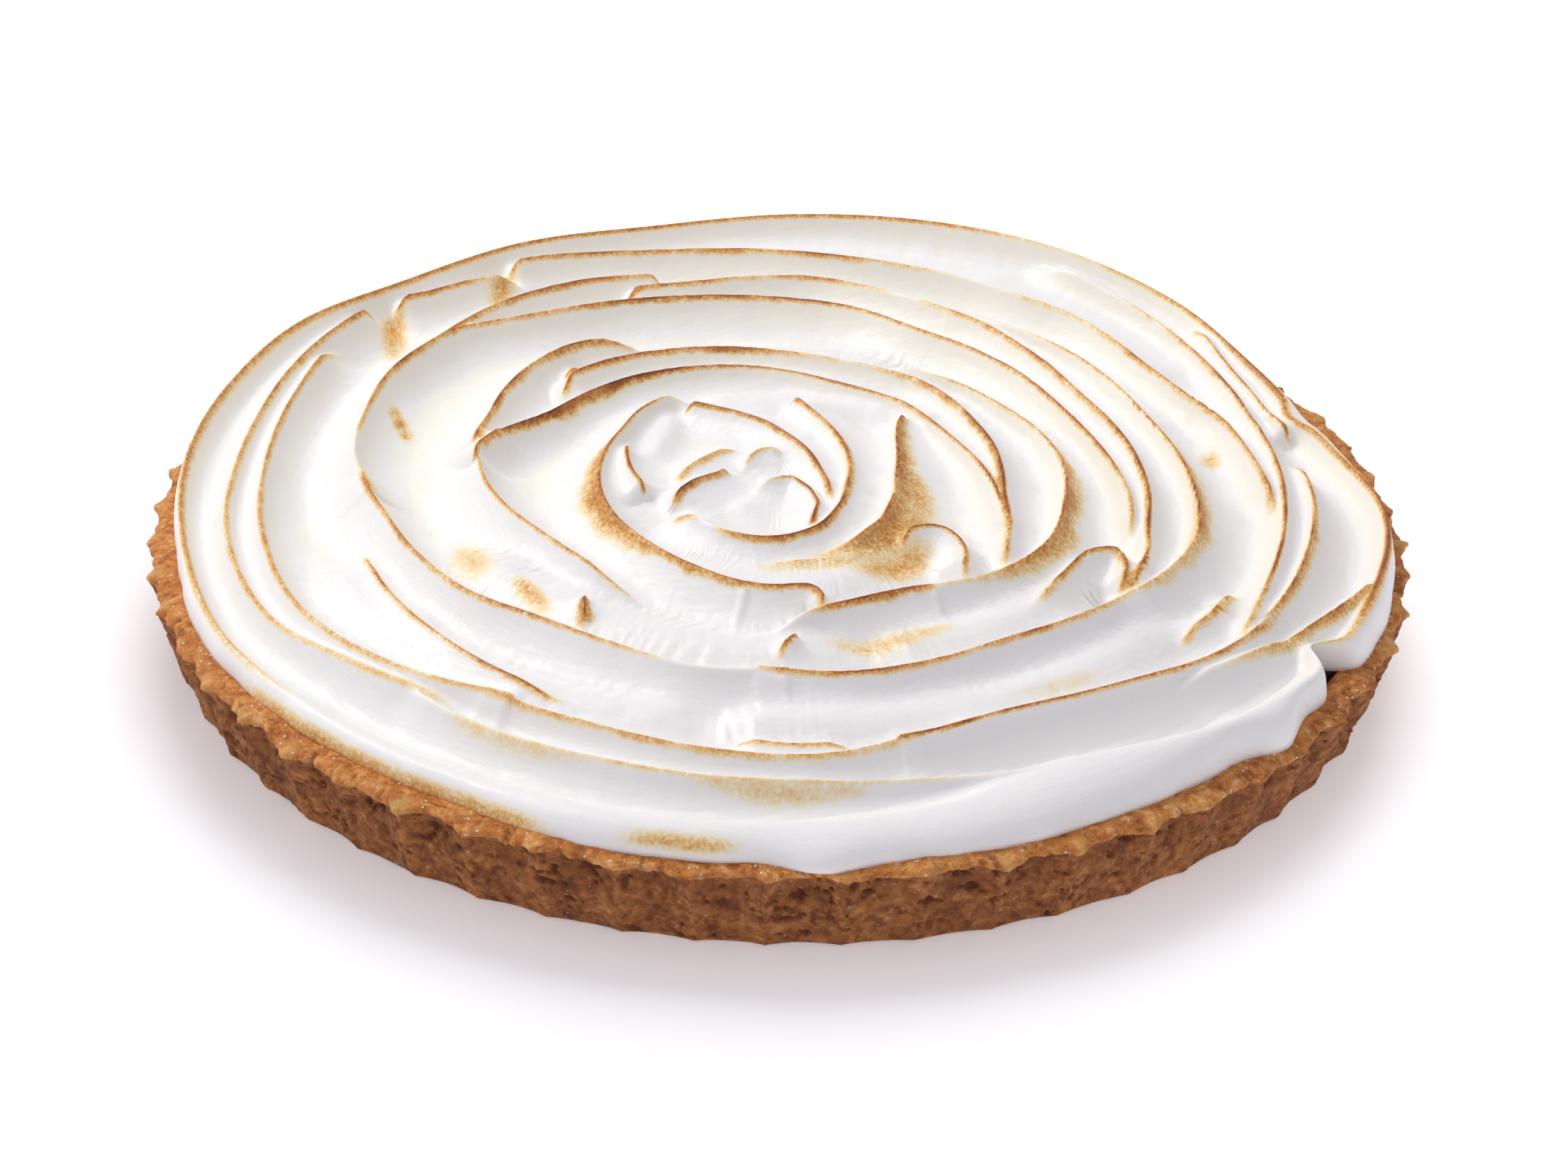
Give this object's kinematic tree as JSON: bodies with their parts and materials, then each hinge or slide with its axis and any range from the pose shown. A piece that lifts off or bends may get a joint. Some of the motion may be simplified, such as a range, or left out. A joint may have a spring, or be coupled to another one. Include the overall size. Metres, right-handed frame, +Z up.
{
  "type": "lemon meringue pie",
  "caption": "Round uncut pie: a shallow fluted shortcrust case filled above its rim with swirled, torched meringue ridges.",
  "frame": {"origin": "centre of the pastry's round underside, on the surface that it stands on", "axes": "+Z up out of the pie, -Y towards the side that the pie is usually seen from, +X to that side's right"},
  "size_m": [0.27, 0.27, 0.0377],
  "materials": {
    "baked_pastry": "dry matt crumb",
    "toasted_meringue": "soft satin white with toasted ridges"
  },
  "bodies": {
    "root": {"pastry_case": "baked_pastry", "meringue": "toasted_meringue"}
  },
  "joints": []
}
